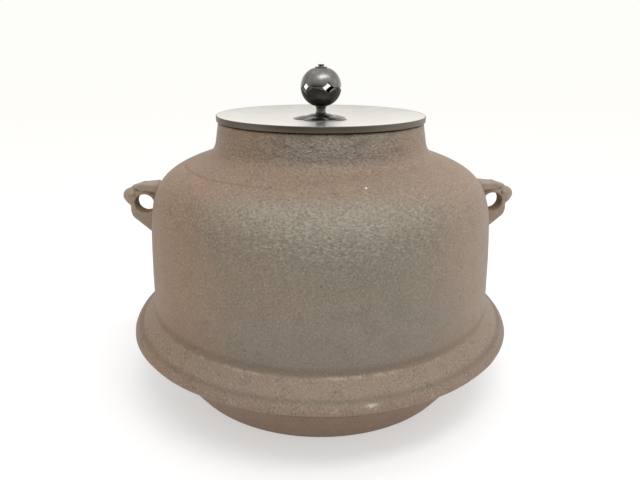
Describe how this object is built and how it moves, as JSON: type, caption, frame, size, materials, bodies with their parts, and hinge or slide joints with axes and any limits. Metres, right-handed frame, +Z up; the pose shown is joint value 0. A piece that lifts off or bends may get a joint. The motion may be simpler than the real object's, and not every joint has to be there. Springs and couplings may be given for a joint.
{
  "type": "tea kettle",
  "caption": "Flanged cast-iron tea kettle on a flat foot, with mask lugs for lifting rings and a scooped bronze lid that lifts off by an openwork ball knob.",
  "frame": {"origin": "centre of the flat foot, on the surface the kettle stands on", "axes": "+Z up along the kettle's axis, X through the two ring holes' lugs, -Y the side the picture shows"},
  "size_m": [0.2714, 0.2634, 0.2134],
  "materials": {
    "kettle_iron": "matte brown sand-cast skin",
    "plate_iron": "matte rough",
    "lacquer": "black lacquer",
    "lid_bronze": "satin grey bronze",
    "knob_bronze": "polished dark bronze"
  },
  "bodies": {
    "kettle": {"kettle_body": "kettle_iron", "lug_left": "kettle_iron", "lug_right": "kettle_iron", "sound_plate_1": "plate_iron", "sound_plate_2": "plate_iron", "sound_plate_3": "plate_iron", "sound_plate_4": "plate_iron", "sound_plate_5": "plate_iron", "plate_lacquer_1": "lacquer", "plate_lacquer_2": "lacquer", "plate_lacquer_3": "lacquer", "plate_lacquer_4": "lacquer", "plate_lacquer_5": "lacquer"},
    "lid": {"lid_plate": "lid_bronze", "rivet_washer": "lid_bronze", "knob_seat": "knob_bronze", "knob_stem": "knob_bronze", "knob_lower_petals": "knob_bronze", "knob_upper_petals": "knob_bronze", "finial_washer": "knob_bronze", "knob_rivet": "knob_bronze"}
  },
  "joints": [
    {"name": "lid_lift", "type": "slide", "parent": "kettle", "child": "lid", "axis": [0, 0, 1], "range_m": [0, 0.12]}
  ]
}
